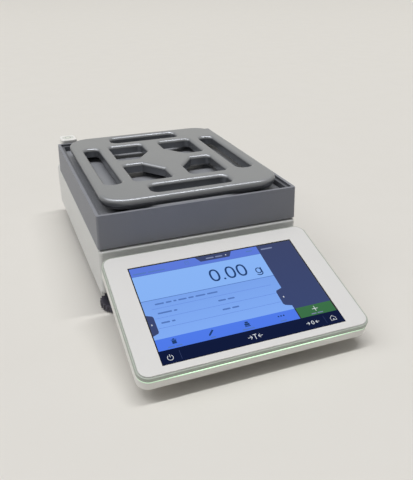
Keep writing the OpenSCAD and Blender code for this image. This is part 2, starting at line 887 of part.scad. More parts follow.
// Block that takes the load: a post up to the pan, forks for the calibration weight, a nose
module load_receptor() {
    color(cast_grey) difference() {
        union() {
            translate([-cell_w / 2, receptor_front, receptor_z])
                cube([cell_w, receptor_d, cell_top - receptor_z]);
            translate([0, pan_mid, cell_top - cut]) cylinder(r = post_r, h = hub_z - cell_top + cut);
            translate([0, pan_mid, hub_z]) cylinder(r = spigot_r, h = spigot_h);
            translate([-nose_w / 2, receptor_back - cut, nose_z])
                cube([nose_w, coupling_gap + nose_over + cut, nose_h]);
            for (s = [-1, 1]) translate([s * (fork_in + fork_t / 2) - fork_t / 2,
                                         weight_y - weight_r - seat_t, fork_z])
                cube([fork_t, receptor_front - weight_y + weight_r + seat_t + cut,
                      weight_rest_z - fork_z]);
        }
        translate([0, weight_y, weight_rest_z]) bar_x(weight_r + fit, cell_w + 2 * cut);
        translate([-hook_r - hook_room, receptor_front - cut, receptor_z - cut])
            cube([2 * (hook_r + hook_room), receptor_d + 2 * cut, hook_recess - receptor_z + cut]);
        translate([0, pan_mid, 0]) cylinder(r = hook_wire + run_fit, h = hook_recess + hook_stem);
    }
}

// Thin strip from the receptor's nose down to the lever
module coupling_strip() {
    strip_z = lever_z + lever_t / 2 + fit;
    color(steel) translate([-strip_w / 2, fulcrum_y - lever_short - strip_t / 2, strip_z])
        cube([strip_w, strip_t, nose_z - strip_z]);
}

// Eye for loads hung below the balance
module weigh_below_hook() {
    color(steel) translate([0, pan_mid, hook_z]) {
        translate([0, 0, hook_r - hook_wire])
            cylinder(r = hook_wire, h = hook_recess + hook_stem - fit - hook_z - hook_r + hook_wire);
        rotate([90, 0, 0]) rotate_extrude() translate([hook_r - hook_wire, 0]) circle(hook_wire);
    }
}

// Rubber ring that keeps dust out round the post
module dust_seal() {
    color(rubber_black) translate([0, pan_mid, deck_z]) difference() {
        cylinder(r = post_hole_r + seal_wall, h = seal_h);
        translate([0, 0, -cut]) cylinder(r = post_r + seal_gap, h = seal_h + 2 * cut);
    }
}

// Calibration weight

// Steel cylinder, held above the receptor's forks
module calibration_weight() {
    color(steel) translate([0, weight_y, weight_z]) bar_x(weight_r, weight_l);
}

// Cradle that lowers the weight, with its nut on the lifter screw
module weight_cradle() {
    color(cast_grey) difference() {
        union() {
            translate([-cradle_in - cradle_t, bar_y, bar_z])
                cube([2 * (cradle_in + cradle_t), bar_d, bar_h]);
            for (s = [-1, 1]) translate([s * (cradle_in + cradle_t / 2) - cradle_t / 2, bar_y,
                                         weight_z - weight_r - fit - seat_t])
                cube([cradle_t, weight_y - bar_y + weight_r + seat_t,
                      bar_z + bar_h - weight_z + weight_r + fit + seat_t]);
            translate([0, lifter_y, bar_z]) cylinder(r = nut_r, h = bar_h);
            translate([-nut_r, lifter_y, bar_z]) cube([2 * nut_r, bar_y - lifter_y + cut, bar_h]);
        }
        translate([0, weight_y, weight_z]) bar_x(weight_r + fit, weight_l + 2 * cut);
        translate([-weight_l / 2 - cut, weight_y - weight_r - fit, weight_z])
            cube([weight_l + 2 * cut, 2 * (weight_r + fit) + cut, house_h]);
        translate([0, lifter_y, 0]) cylinder(r = screw_r + run_fit, h = deck_z);
    }
}

// Screw that moves the cradle
module lifter_screw() {
    color(steel) translate([0, lifter_y, base_top + motor_h + fit])
        cylinder(r = screw_r, h = cell_top - base_top - motor_h - fit);
}

// Geared motor below the screw
module lifter_motor() {
    color(rubber_black) translate([0, lifter_y, base_top]) cylinder(r = motor_r, h = motor_h);
}

// Pan, its carrier, the drip tray and the draft ring

// Spider on the receptor's post with four pins
module pan_carrier() {
    color(cast_grey) translate([0, pan_mid, hub_z]) difference() {
        union() {
            cylinder(r = hub_r, h = hub_h);
            for (sx = [-1, 1], sy = [-1, 1]) {
                rotate(atan2(sy * pin_y, sx * pin_x)) translate([0, -arm_w / 2, 0])
                    cube([norm([pin_x, pin_y]), arm_w, arm_t]);
                translate([sx * pin_x, sy * pin_y, 0])
                    cylinder(r = pin_r + boss_wall, h = tip_top - tip_h - hub_z);
            }
        }
        translate([0, 0, -cut]) cylinder(r = spigot_r + run_fit, h = spigot_h + fit + cut);
    }
}

// Steel tips on the pins, which the pan's sockets sit on
module carrier_tips() {
    color(steel) for (sx = [-1, 1], sy = [-1, 1])
        translate([sx * pin_x, pan_mid + sy * pin_y, tip_top - tip_h]) cylinder(r = pin_r, h = tip_h);
}

// Round-cornered opening through the pan, with its upper edge rounded
module pan_cut(w, d, r) {
    carried_round(rect_axes(w, d, r), pan_t + 2 * cut) {
        square([r, cut]);
        translate([0, cut]) cut_section(r, pan_t, pan_edge);
    }
}

// Window behind and to the right of the pan's middle: an opening less its bevelled inner corner
module pan_window() {
    w = window_x_out - window_x_in;
    d = window_y_out - window_y_in;
    difference() {
        translate([window_x_in + w / 2, window_y_in + d / 2, 0]) pan_cut(w, d, window_corner);
        translate([window_x_in, window_y_in + bevel_y, 0]) rotate(atan2(-bevel_y, bevel_x))
            translate([-d, -w, 0]) rotate([90, 0, 90]) linear_extrude(2 * d + w)
                edge_section(w, pan_t + cut + lap, pan_edge);
    }
}

// Slotted pan on four sockets
module weighing_pan() {
    color(pan_grey) translate([0, pan_mid, pan_z]) difference() {
        carried_round(rect_axes(pan_w, pan_d, pan_corner), pan_t)
            edge_section(pan_corner, pan_t, pan_edge, pan_low_edge);
        for (s = [-1, 1]) {
            translate([s * slot_x, 0, -cut]) pan_cut(slot_w, 2 * window_y_out, slot_corner);
            translate([0, s * end_slot_y, -cut]) pan_cut(end_slot_l, end_slot_w, slot_corner);
        }
        for (mx = [0, 1], my = [0, 1]) mirror([mx, 0, 0]) mirror([0, my, 0])
            translate([0, 0, -cut]) pan_window();
        for (sx = [-1, 1], sy = [-1, 1]) translate([sx * pin_x, sy * pin_y, -cut])
            cylinder(r = pin_r + fit, h = socket_depth + cut);
    }
}

// Tray under the pan, on a skirt, with holes for the pins
module drip_tray() {
    tray_h = tray_top - deck_z;
    tray_corner = ring_corner;
    color(slate_grey) translate([0, ring_d / 2, deck_z]) difference() {
        linear_extrude(tray_h) round_rect(tray_w, tray_d, tray_corner);
        translate([0, 0, -cut]) linear_extrude(tray_h - tray_t + cut)
            round_rect(tray_w - 2 * tray_t, tray_d - 2 * tray_t, tray_corner / 2);
        for (sx = [-1, 1], sy = [-1, 1])
            translate([sx * pin_x, pan_mid - ring_d / 2 + sy * pin_y, -cut])
                cylinder(r = pin_hole_r + sleeve_t + run_fit, h = tray_h + 2 * cut);
    }
}

// Collars round those holes, which keep spills off the pins
module pin_collars() {
    color(rubber_black) for (sx = [-1, 1], sy = [-1, 1])
        translate([sx * pin_x, pan_mid + sy * pin_y, tray_top - tray_t]) difference() {
            union() {
                cylinder(r = pin_hole_r + sleeve_t, h = tray_t + collar_h);
                translate([0, 0, tray_t]) cylinder(r = pin_hole_r + collar_t, h = collar_h);
            }
            translate([0, 0, -cut]) cylinder(r = pin_hole_r, h = tray_t + collar_h + 2 * cut);
        }
}

// Open ring of four walls that keeps draughts off the pan
module draft_ring() {
    color(slate_grey) translate([0, ring_d / 2, ring_z]) difference() {
        carried_round(rect_axes(ring_w, ring_d, ring_corner), ring_h)
            polygon([[0, 0], [ring_corner + ring_draft, 0], [ring_corner, ring_h], [0, ring_h]]);
        translate([0, 0, -cut]) linear_extrude(ring_h + 2 * cut)
            round_rect(ring_in_w - 2 * ledge_w, ring_in_d - 2 * ledge_w, ring_corner);
        translate([0, 0, ring_h - ledge_drop]) linear_extrude(ledge_drop + cut)
            round_rect(ring_in_w, ring_in_d, ring_corner);
        translate([0, 0, -cut]) linear_extrude(ring_h - ledge_drop - ledge_t + cut)
            round_rect(ring_in_w, ring_in_d, ring_corner);
    }
}

// Level

// Housing on the rear deck with a round well
module level_housing() {
    color(body_white) translate([level_x, level_y, deck_z]) difference() {
        carried_round(rect_axes(level_w, level_d, level_corner), level_h)
            edge_section(level_corner, level_h, level_edge);
        translate([0, 0, level_h - vial_h]) cylinder(r = vial_r + run_fit, h = vial_h + cut);
    }
}

// Clear vial in the well
module level_vial() {
    color(guide_green) translate([level_x, level_y, deck_z + level_h - vial_h]) difference() {
        cylinder(r = vial_r, h = vial_h);
        translate([0, 0, vial_wall]) cylinder(r = vial_r - vial_wall, h = vial_h - 2 * vial_wall);
    }
}

// Fluid in the vial
module level_fluid() {
    color(fluid_green) translate([level_x, level_y, deck_z + level_h - vial_h + vial_wall])
        cylinder(r = vial_r - vial_wall - run_fit, h = vial_h - 2 * vial_wall - run_fit);
}

// Boards and sockets

// Panel behind the opening at the back
module rear_panel() {
    color(wheel_grey) difference() {
        translate([-rear_w / 2 - rear_flange, panel_front, rear_z - rear_flange])
            cube([rear_w + 2 * rear_flange, rear_panel_t, rear_h + 2 * rear_flange]);
        translate([power_x, panel_front - cut, socket_mid_z]) rotate([-90, 0, 0])
            cylinder(r = power_r + fit, h = rear_panel_t + 2 * cut);
        panel_cut(network_x, network_size);
        for (i = [0, 1]) panel_cut(usb_x + i * usb_pitch, usb_size);
        panel_cut(usb_device_x, usb_device_size);
    }
}

// Opening for a socket in the rear panel
module panel_cut(x, size) {
    translate([x - size[0] / 2 - fit, panel_front - cut, socket_mid_z - size[1] / 2 - fit])
        cube([size[0] + 2 * fit, rear_panel_t + 2 * cut, size[1] + 2 * fit]);
}

// Socket shell between the interface board and the panel, open to the back
module socket_shell(x, size, bore) {
    translate([x - size[0] / 2, interface_y, socket_mid_z - size[1] / 2]) difference() {
        cube([size[0], socket_back - interface_y, size[1]]);
        translate([(size[0] - bore[0]) / 2, socket_back - interface_y - socket_depth_y,
                   (size[1] - bore[1]) / 2])
            cube([bore[0], socket_depth_y + cut, bore[1]]);
    }
}

// Contact tongue inside a socket
module socket_tongue(x, w, t, z) {
    translate([x - w / 2, socket_back - socket_depth_y - cut, z - t / 2])
        cube([w, socket_depth_y + cut - tongue_short, t]);
}

// Round inlet for the power adapter
module power_socket() {
    color(rubber_black) translate([power_x, interface_y, socket_mid_z]) rotate([-90, 0, 0]) {
        difference() {
            cylinder(r = power_r, h = socket_back - interface_y);
            translate([0, 0, socket_back - interface_y - socket_depth_y])
                cylinder(r = power_bore_r, h = socket_depth_y + cut);
        }
        cylinder(r = tongue_t / 2, h = socket_back - interface_y - tongue_short);
    }
}

// Network socket
module network_socket() {
    color(steel) socket_shell(network_x, network_size, network_bore);
}

// Two flat ports for a reader or a stick
module usb_ports() {
    color(steel) for (i = [0, 1]) {
        socket_shell(usb_x + i * usb_pitch, usb_size, usb_bore);
        socket_tongue(usb_x + i * usb_pitch, usb_bore[0] - tongue_t, tongue_t,
                      socket_mid_z + tongue_rise);
    }
}

// Square socket for a computer
module usb_device_socket() {
    color(steel) {
        socket_shell(usb_device_x, usb_device_size, usb_device_bore);
        socket_tongue(usb_device_x, usb_device_bore[0] - 2 * tongue_t, 2 * tongue_t, socket_mid_z);
    }
}

// Upright board that carries the sockets
module interface_board() {
    color(board_green) translate([-rear_w / 2, interface_y - board_t, base_top])
        cube([rear_w, board_t, deck_under - base_top - fit]);
}

// Board with the electronics, beside the cell
module main_board() {
    color(board_green) translate([main_board_x, main_board_y, base_top + standoff_h]) {
        translate([-main_board_w / 2, -main_board_d / 2, 0]) cube([main_board_w, main_board_d, board_t]);
        for (i = [-1 : 1]) translate([-chip_w / 2, i * chip_pitch - chip_w / 2, board_t])
            cube([chip_w, chip_w, chip_h]);
    }
}

// Four standoffs under that board
module board_standoffs() {
    color(brass) for (sx = [-1, 1], sy = [-1, 1])
        translate([main_board_x + sx * (main_board_w / 2 - standoff_r),
                   main_board_y + sy * (main_board_d / 2 - standoff_r), base_top])
            cylinder(r = standoff_r, h = standoff_h);
}

// Terminal

// Upper shell: a frame with a shelf for the front panel
module terminal_upper_shell() {
    well_w = rim_w + shelf_w;
    inner_w = shell_t;
    rim_h = upper_h - panel_rise;
    color(shell_grey) mid_terminal() difference() {
        translate([0, 0, -upper_h]) carried_round(rect_axes(term_w, term_l, term_corner), rim_h)
            edge_section(term_corner, rim_h, term_edge);
        translate([0, 0, -panel_t]) linear_extrude(panel_t + cut)
            round_rect(term_w - 2 * rim_w, term_l - 2 * rim_w, term_corner - rim_w);
        translate([0, 0, -upper_h]) linear_extrude(upper_h)
            round_rect(term_w - 2 * well_w, term_l - 2 * well_w, term_corner - well_w);
        translate([0, 0, -upper_h - cut]) linear_extrude(upper_h - panel_t - shelf_t + cut)
            round_rect(term_w - 2 * inner_w, term_l - 2 * inner_w, term_corner - inner_w);
    }
}

// White front panel round the display window
module terminal_front_panel() {
    gap_w = rim_w + run_fit;
    panel_corner = term_corner - gap_w;
    color(body_white) on_terminal() difference() {
        translate([0, -term_l / 2, -panel_t])
            carried_round(rect_axes(term_w - 2 * gap_w, term_l - 2 * gap_w, panel_corner), panel_t)
                edge_section(panel_corner, panel_t, panel_edge);
        translate([-window_w / 2, window_y - window_l / 2, -panel_t - cut])
            cube([window_w, window_l, panel_t + 2 * cut]);
    }
}

// Glass pane of the display, flush with the front panel
module display_window() {
    color(screen_blue) on_terminal()
        translate([-window_w / 2 + run_fit, window_y - window_l / 2 + run_fit, -panel_t])
            cube([window_w - 2 * run_fit, window_l - 2 * run_fit, panel_t]);
}

// Display module behind the pane, with a border under the front panel
module display_module() {
    color(rubber_black) on_terminal()
        translate([-window_w / 2 - display_border, window_y - window_l / 2 + fit, display_z])
            cube([window_w + 2 * display_border, window_l - 2 * fit, display_t]);
}

// Translucent band between the shells
module terminal_light_guide() {
    color(guide_green) mid_terminal() translate([0, 0, -upper_h - guide_h])
        linear_extrude(guide_h) difference() {
            round_rect(term_w - 2 * guide_inset, term_l - 2 * guide_inset, term_corner - guide_inset);
            round_rect(term_w - 2 * guide_w, term_l - 2 * guide_w, term_corner - guide_w);
        }
}

// Strip with the lamps behind the light guide's front
module light_board() {
    color(board_green) on_terminal()
        translate([-window_w / 2, -term_l + guide_w + fit, -upper_h - light_board_h])
            cube([window_w, board_t, light_board_h]);
}

// Board below the display
module terminal_board() {
    color(board_green) on_terminal()
        translate([-window_w / 2, window_y - window_l / 2 + shelf_w, display_z - fit - board_t])
            cube([window_w, window_l - 2 * shelf_w, board_t]);
}

// Outline of a hinge lug below the terminal, in the plane of its tilt
module lug_outline() {
    difference() {
        union() {
            translate([pivot_y, pivot_z]) circle(lug_r);
            polygon([
                [pivot_y - lug_root, -term_t + shell_t / 2], [pivot_y - lug_r, pivot_z],
                [pivot_y + lug_r, pivot_z], [pivot_y + lug_root, -term_t + shell_t / 2]
            ]);
        }
        translate([pivot_y, pivot_z]) circle(hinge_r + run_fit);
    }
}

// Places of the terminal's screws
function term_posts() = [for (sx = [-1, 1], sy = [-1, 1])
    [sx * (term_w / 2 - term_post_in), sy * (term_l / 2 - term_post_in) - term_l / 2]];

// Lower shell: a tray with the hinge lugs and screw posts
module terminal_lower_shell() {
    lug_x = bracket_w / 2 - washer_t - fit - lug_w;
    color(body_white) on_terminal() difference() {
        union() {
            translate([0, -term_l / 2, -term_t]) difference() {
                carried_round(rect_axes(term_w, term_l, term_corner), lower_h)
                    edge_section(term_corner, lower_h, 0, term_low_edge);
                translate([0, 0, shell_t]) linear_extrude(lower_h)
                    round_rect(term_w - 2 * guide_w, term_l - 2 * guide_w, term_corner - guide_w);
            }
            for (s = [-1, 1]) translate([s * (lug_x + lug_w / 2) - lug_w / 2, 0, 0])
                rotate([90, 0, 90]) linear_extrude(lug_w) lug_outline();
            for (p = term_posts()) translate([p[0], p[1], -term_t + shell_t / 2])
                cylinder(r = term_post_r, h = lower_h - shell_t / 2);
        }
        for (p = term_posts()) translate([p[0], p[1], -term_t - cut]) {
            cylinder(r = shank_r + run_fit, h = term_t);
            cylinder(r = head_r + run_fit, h = head_h + cut);
        }
    }
}

// Screws that hold the terminal's shells together
module terminal_screws() {
    color(steel) on_terminal() for (p = term_posts()) translate([p[0], p[1], -term_t])
        screw(lower_h - head_h - fit);
}

// Centres a piece of the balance over the origin
module placed() {
    translate([0, origin_y, 0]) children();
}

placed() base_plate();
placed() housing_cover();
placed() cover_screws();
placed() rear_panel();
placed() power_socket();
placed() network_socket();
placed() usb_ports();
placed() usb_device_socket();
placed() interface_board();
placed() main_board();
placed() board_standoffs();
placed() level_housing();
placed() level_vial();
placed() level_fluid();
placed() rear_feet();
placed() foot_bushes();
placed() left_foot_pad();
placed() left_levelling_wheel();
placed() left_levelling_stud();
placed() right_foot_pad();
placed() right_levelling_wheel();
placed() right_levelling_stud();
placed() hook_cover();
placed() hook_cover_screw();
placed() terminal_bracket();
placed() bracket_screws();
placed() hinge_pins();
placed() hinge_washers();
placed() dust_seal();
placed() cell_frame();
placed() fulcrum_pin();
placed() magnet();
placed() position_sensor();
placed() lever();
placed() coil();
placed() upper_guide();
placed() lower_guide();
placed() load_receptor();
placed() coupling_strip();
placed() weigh_below_hook();
placed() pan_carrier();
placed() carrier_tips();
placed() weighing_pan();
placed() drip_tray();
placed() pin_collars();
placed() draft_ring();
placed() calibration_weight();
placed() weight_cradle();
placed() lifter_screw();
placed() lifter_motor();
placed() terminal_upper_shell();
placed() terminal_front_panel();
placed() display_window();
placed() display_module();
placed() terminal_light_guide();
placed() light_board();
placed() terminal_board();
placed() terminal_lower_shell();
placed() terminal_screws();
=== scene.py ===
"""Looks of a bench precision balance: finishes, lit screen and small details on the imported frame."""
import json
import math

import bmesh
import bpy
from mathutils import Matrix, Vector

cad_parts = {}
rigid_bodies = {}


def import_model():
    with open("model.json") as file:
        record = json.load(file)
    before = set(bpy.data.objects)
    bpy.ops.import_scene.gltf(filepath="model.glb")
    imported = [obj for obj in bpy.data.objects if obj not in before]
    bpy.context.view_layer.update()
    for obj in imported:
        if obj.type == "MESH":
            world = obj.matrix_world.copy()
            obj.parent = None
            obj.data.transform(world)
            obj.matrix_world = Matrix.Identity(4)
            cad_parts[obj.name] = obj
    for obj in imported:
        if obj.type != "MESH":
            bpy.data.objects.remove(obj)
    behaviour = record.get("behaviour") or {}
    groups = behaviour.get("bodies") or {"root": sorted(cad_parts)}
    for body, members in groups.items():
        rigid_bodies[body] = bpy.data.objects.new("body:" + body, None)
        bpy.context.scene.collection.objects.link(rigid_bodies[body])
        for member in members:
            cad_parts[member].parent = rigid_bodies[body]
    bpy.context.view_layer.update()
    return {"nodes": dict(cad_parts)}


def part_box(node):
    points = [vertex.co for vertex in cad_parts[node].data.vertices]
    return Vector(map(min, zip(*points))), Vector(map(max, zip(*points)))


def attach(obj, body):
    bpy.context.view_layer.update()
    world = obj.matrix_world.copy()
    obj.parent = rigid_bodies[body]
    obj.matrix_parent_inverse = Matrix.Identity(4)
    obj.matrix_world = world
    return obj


for spare in list(bpy.data.objects):
    bpy.data.objects.remove(spare)
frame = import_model()
nodes = frame["nodes"]
scene = bpy.context.scene
MM = 0.001
BLACK = (0, 0, 0, 1)

# Measures of the solids that the details sit on, in mm and degrees, in the part's frame
TERMINAL_BACK = Vector((0, -74.176, 61.2))
TERMINAL_TILT = 16.8
LEVEL_TOP = Vector((-83, 183.924, 100.5))
STRIP_FRONT = -195
SOCKET_Z = 43.75
SOCKET_BACK = 195.724
NETWORK_X = -18
RING_WALL = 3.7
# Size of the lit display and place of its middle on the terminal's face, in mm
DISPLAY = (157.6, 104.1)
DISPLAY_MID = (-0.5, -69.55)
# Grid for the display's picture: steps to the right and to the front, counted from its back left corner
SCREEN = (1250, 825)
# Points of a mesh that lie closer than this, in mm, are one point
WELD = 0.002
# Width in mm over which one finish goes over into the next on the same solid
SEAM = 0.1

TERMINAL = (Matrix.Translation(TERMINAL_BACK * MM)
            @ Matrix.Rotation(math.radians(TERMINAL_TILT), 4, "X"))
TERMINAL_UP = TERMINAL.to_3x3() @ Vector((0, 0, 1))


def at_screen(u, v, lift):
    """Place of a point of the display's grid, so many mm off the pane."""
    x = DISPLAY_MID[0] + (u / SCREEN[0] - 0.5) * DISPLAY[0]
    y = DISPLAY_MID[1] + (0.5 - v / SCREEN[1]) * DISPLAY[1]
    return TERMINAL @ (Vector((x, y, lift)) * MM)


# Shader helpers

def linear(code):
    """Linear RGBA of an sRGB hex colour."""
    parts = [int(code[i:i + 2], 16) / 255 for i in (1, 3, 5)]
    return tuple(p / 12.92 if p <= 0.04045 else ((p + 0.055) / 1.055) ** 2.4 for p in parts) + (1,)


def live(sockets, name):
    """Socket of that name that the node's settings leave in use."""
    return next(s for s in sockets if s.name == name and s.enabled)


def add(tree, kind, inputs=(), **settings):
    """Add a node with its settings, and set or link the inputs that are given by name or number."""
    made = tree.nodes.new(kind)
    for name, value in settings.items():
        setattr(made, name, value)
    for key, value in dict(inputs).items():
        socket = made.inputs[key] if isinstance(key, int) else live(made.inputs, key)
        if isinstance(value, bpy.types.NodeSocket):
            tree.links.new(value, socket)
        else:
            socket.default_value = value
    return made


def per_metre(size):
    """Texture scale at which a pattern's features have that size in mm."""
    return 1 / (size * MM)


def begin(name):
    """Empty material, its node tree and the object's own coordinates."""
    made = bpy.data.materials.new(name)
    made.use_nodes = True
    tree = made.node_tree
    tree.nodes.clear()
    return made, tree, add(tree, "ShaderNodeTexCoord").outputs["Object"]


def finish_with(tree, sockets):
    """Principled shader with these sockets, joined to the output."""
    shader = add(tree, "ShaderNodeBsdfPrincipled", sockets)
    add(tree, "ShaderNodeOutputMaterial", {"Surface": shader.outputs["BSDF"]})


# Size in mm of the drift between a finish's two colours
CLOUD = 45
# Range that the noise of the grain mostly keeps to, and strength of its relief
GRAIN_LOW = 0.3
GRAIN_HIGH = 0.7
RELIEF = 0.5


def grained(name, colour, tint, grain, depth, rough, spread, darken=None, **sockets):
    """Surface with a cloudy drift between two colours, and a grain in its gloss and relief. Grain and depth
    are in mm, and the roughness goes up and down by the spread. Where darken is given, it adds nodes that
    say how large a share of the colour is kept."""
    made, tree, place = begin(name)
    cloud = add(tree, "ShaderNodeTexNoise", {"Vector": place, "Scale": per_metre(CLOUD), "Detail": 3})
    noise = add(tree, "ShaderNodeTexNoise", {"Vector": place, "Scale": per_metre(grain), "Detail": 2})
    shade = add(tree, "ShaderNodeMix",
                {"Factor": cloud.outputs["Fac"], "A": linear(colour), "B": linear(tint)}, data_type="RGBA")
    if darken:
        shade = add(tree, "ShaderNodeMix",
                    {"Factor": darken(tree), "A": BLACK, "B": live(shade.outputs, "Result")},
                    data_type="RGBA")
    gloss = add(tree, "ShaderNodeMapRange",
                {"Value": noise.outputs["Fac"], "From Min": GRAIN_LOW, "From Max": GRAIN_HIGH,
                 "To Min": rough - spread, "To Max": rough + spread})
    relief = add(tree, "ShaderNodeBump",
                 {"Height": noise.outputs["Fac"], "Strength": RELIEF, "Distance": depth * MM})
    finish_with(tree, {"Base Color": live(shade.outputs, "Result"), "Roughness": gloss.outputs["Result"],
                       "Normal": relief.outputs["Normal"], **sockets})
    return made


# Painted shade on the pan: its coat keeps this share of its colour on an upright wall, and all of it on a
# level face. The upward part of a face's normal says which it is.
UPRIGHT_SHARE = 0.65
UPRIGHT_BELOW = 0.15
LEVEL_ABOVE = 0.85


def painted_wall_shade(tree):
    """Share of the colour by how level a face is: painted shade and dark reflection on upright walls."""
    facing = add(tree, "ShaderNodeNewGeometry").outputs["Normal"]
    upward = add(tree, "ShaderNodeSeparateXYZ", {"Vector": facing}).outputs["Z"]
    share = add(tree, "ShaderNodeMapRange",
                {"Value": upward, "From Min": UPRIGHT_BELOW, "From Max": LEVEL_ABOVE,
                 "To Min": UPRIGHT_SHARE, "To Max": 1})
    return share.outputs["Result"]


# Share of the ring's colour that is kept inside its walls; the darkening there is painted shade
GAP_SHADE_SHARE = 0.55


def painted_gap_shade(tree):
    """Share of the colour inside the ring's walls: painted shade, so that the gap round the pan looks deep.
    """
    low, high = (Vector(corner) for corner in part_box("draft_ring"))
    half = (high - low) / 2 - Vector((RING_WALL, RING_WALL, 0)) * MM
    place = add(tree, "ShaderNodeTexCoord").outputs["Object"]
    out = add(tree, "ShaderNodeVectorMath", {0: place, 1: (low + high) / 2}, operation="SUBTRACT")
    reach = add(tree, "ShaderNodeVectorMath", {0: out.outputs["Vector"]}, operation="ABSOLUTE")
    past = add(tree, "ShaderNodeVectorMath", {0: reach.outputs["Vector"], 1: half}, operation="SUBTRACT")
    axes = add(tree, "ShaderNodeSeparateXYZ", {"Vector": past.outputs["Vector"]})
    beyond = add(tree, "ShaderNodeMath", {0: axes.outputs["X"], 1: axes.outputs["Y"]}, operation="MAXIMUM")
    share = add(tree, "ShaderNodeMapRange",
                {"Value": beyond.outputs["Value"], "From Min": 0, "From Max": SEAM * MM,
                 "To Min": GAP_SHADE_SHARE, "To Max": 1})
    return share.outputs["Result"]


# Size in mm of the cloudy patches in tin plate, and roughness of the plate and of a socket's insert
TIN_CLOUD = 2
TIN_ROUGH = 0.24
INSERT_ROUGH = 0.5


def socket_shell(name, mouth):
    """Tin-plated shell of a socket, bright and smooth, with a black insert so many mm inside its mouth."""
    made, tree, place = begin(name)
    axes = add(tree, "ShaderNodeSeparateXYZ", {"Vector": place})
    cloud = add(tree, "ShaderNodeTexNoise", {"Vector": place, "Scale": per_metre(TIN_CLOUD), "Detail": 2})
    tin = add(tree, "ShaderNodeMix",
              {"Factor": cloud.outputs["Fac"], "A": linear("#d2d2d0"), "B": linear("#c2c2bf")},
              data_type="RGBA")
    insert = SOCKET_BACK - mouth
    outer = add(tree, "ShaderNodeMapRange",
                {"Value": axes.outputs["Y"], "From Min": (insert - SEAM) * MM, "From Max": insert * MM})
    shade = add(tree, "ShaderNodeMix",
                {"Factor": outer.outputs["Result"], "A": linear("#151617"),
                 "B": live(tin.outputs, "Result")}, data_type="RGBA")
    gloss = add(tree, "ShaderNodeMapRange",
                {"Value": outer.outputs["Result"], "To Min": INSERT_ROUGH, "To Max": TIN_ROUGH})
    finish_with(tree, {"Base Color": live(shade.outputs, "Result"), "Metallic": outer.outputs["Result"],
                       "Roughness": gloss.outputs["Result"]})
    return made


# The light strip is bright as far as GLOW_FULL to either side and pales to the share GLOW_CORNER at
# GLOW_END. From the front backwards its light dies away over GLOW_DEPTH. All but the share are in mm.
GLOW_FULL = 50
GLOW_END = 92
GLOW_CORNER = 0.4
GLOW_DEPTH = 9


def lit_strip(name):
    """Strip with lamps inside, which light it along the front."""
    made, tree, place = begin(name)
    axes = add(tree, "ShaderNodeSeparateXYZ", {"Vector": place})
    aside = add(tree, "ShaderNodeMath", {0: axes.outputs["X"]}, operation="ABSOLUTE")
    inward = add(tree, "ShaderNodeMapRange",
                 {"Value": aside.outputs["Value"], "From Min": GLOW_FULL * MM, "From Max": GLOW_END * MM,
                  "To Min": 1, "To Max": GLOW_CORNER}, interpolation_type="SMOOTHSTEP")
    ahead = add(tree, "ShaderNodeMapRange",
                {"Value": axes.outputs["Y"], "From Min": STRIP_FRONT * MM,
                 "From Max": (STRIP_FRONT + GLOW_DEPTH) * MM, "To Min": 1, "To Max": 0})
    share = add(tree, "ShaderNodeMath", {0: inward.outputs["Result"], 1: ahead.outputs["Result"]},
                operation="MULTIPLY")
    glow = add(tree, "ShaderNodeMix",
               {"Factor": share.outputs["Value"], "A": BLACK, "B": linear("#b9f0c0")}, data_type="RGBA")
    finish_with(tree, {"Base Color": linear("#d3d8d0"), "Roughness": 0.35,
                       "Emission Color": live(glow.outputs, "Result"), "Emission Strength": 1.4})
    return made


def lit(name, back, front):
    """Lit area of the display behind its pane: the light runs from the colour at the back to the other."""
    made, tree, place = begin(name)
    height = add(tree, "ShaderNodeSeparateXYZ", {"Vector": place}).outputs["Z"]
    along = add(tree, "ShaderNodeMapRange",
                {"Value": height, "From Min": at_screen(0, SCREEN[1], 0).z,
                 "From Max": at_screen(0, 0, 0).z})
    shade = add(tree, "ShaderNodeMix",
                {"Factor": along.outputs["Result"], "A": linear(front), "B": linear(back)},
                data_type="RGBA")
    finish_with(tree, {"Base Color": BLACK, "Roughness": 0.12, "IOR": 1.5, "Specular IOR Level": 0.06,
                       "Emission Color": live(shade.outputs, "Result"), "Emission Strength": 1})
    return made


# Finishes

# Most real grain is finer than the sizes given here: it is drawn as coarse as it needs to be to show.

# Powder coat on the die-cast cover: a soft sheen, and an orange peel too shallow to see but as a
# slight break-up of the highlights
powder_coat = grained("white_powder_coat", "#d6d7d6", "#d0d1d0",
                      grain=1.4, depth=0.015, rough=0.36, spread=0.05)
# Moulded ABS of the terminal and the level: a little whiter, with the grain of a spark-eroded tool
white_abs = grained("white_moulded_abs", "#ecebe8", "#e6e5e2",
                    grain=0.8, depth=0.02, rough=0.42, spread=0.06)
# Printed film over the terminal's face: a plain white, smooth with a dull sheen
panel_film = grained("printed_polyester_film", "#dcdbda", "#d7d6d5",
                     grain=1.2, depth=0.008, rough=0.34, spread=0.04)
# Textured mouldings reflect half as much as smooth ones
TEXTURED = {"Specular IOR Level": 0.25}
# Moulded ABS of the ring: slate grey, with a satin that whitens at a low angle, and painted shade inside its
# walls
slate_abs = grained("slate_moulded_abs", "#86888f", "#80828a",
                    grain=0.9, depth=0.03, rough=0.5, spread=0.06, darken=painted_gap_shade, **TEXTURED)
# The same ABS in the drip tray, paler
tray_abs = grained("pale_slate_moulded_abs", "#94969b", "#8e9096",
                   grain=0.9, depth=0.03, rough=0.45, spread=0.06, **TEXTURED)
# Moulded ABS of the terminal's rim: a pale satin grey, with a touch of green that is painted glow from the
# lit strip
shell_abs_painted_glow = grained("grey_moulded_abs", "#abb2a9", "#a3aaa1",
                    grain=0.8, depth=0.02, rough=0.42, spread=0.06)
# Black coat on the sand-cast base: dry, with the casting's skin showing through
black_coat = grained("black_coated_casting", "#232427", "#1b1c1e",
                     grain=1.8, depth=0.06, rough=0.55, spread=0.08)
